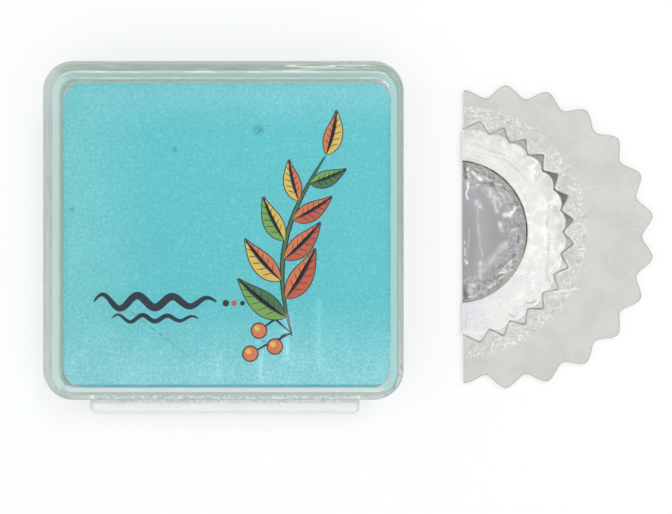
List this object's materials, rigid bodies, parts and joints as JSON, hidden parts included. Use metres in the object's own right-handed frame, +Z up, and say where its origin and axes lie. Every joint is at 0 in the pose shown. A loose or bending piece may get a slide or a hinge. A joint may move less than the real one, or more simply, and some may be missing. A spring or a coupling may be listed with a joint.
{
  "type": "bird call",
  "caption": "Mouth-held bird call: a thin rubber reed clamped between scalloped films by a folded toothed metal crown, with its clear hinged storage case and printed card.",
  "frame": {"origin": "on the table, at the middle of the box round the case and the call", "axes": "+X from the case towards the call, +Y from the case's hinge towards its catches, +Z up from the table"},
  "size_m": [0.0856, 0.0494, 0.009],
  "materials": {
    "case_clear": "clear, polished, faintly green at its edges",
    "hinge_clear": "clear, whitened where it bends",
    "card": "matt printed card",
    "skirt_film": "frosted translucent film",
    "reed_rubber": "thin grey translucent rubber, glossy where creased",
    "crown_metal": "bright rolled sheet, lightly dented"
  },
  "bodies": {
    "base": {"case_base": "case_clear", "hinge_web": "hinge_clear"},
    "lid": {"case_lid": "case_clear", "label_card": "card"},
    "call": {"skirt_back": "skirt_film", "reed": "reed_rubber", "skirt_front": "skirt_film", "crown_frame": "crown_metal"}
  },
  "joints": [
    {"name": "lid_hinge", "type": "hinge", "parent": "base", "child": "lid", "pos_m": [-0.0178, -0.02448, 0.0045], "axis": [1, 0, 0], "range_deg": [0, 180], "deforming": ["hinge_web"]},
    {"name": "call_lift", "type": "slide", "parent": "base", "child": "call", "axis": [0, 0, 1], "range_m": [0, 0.03]}
  ]
}
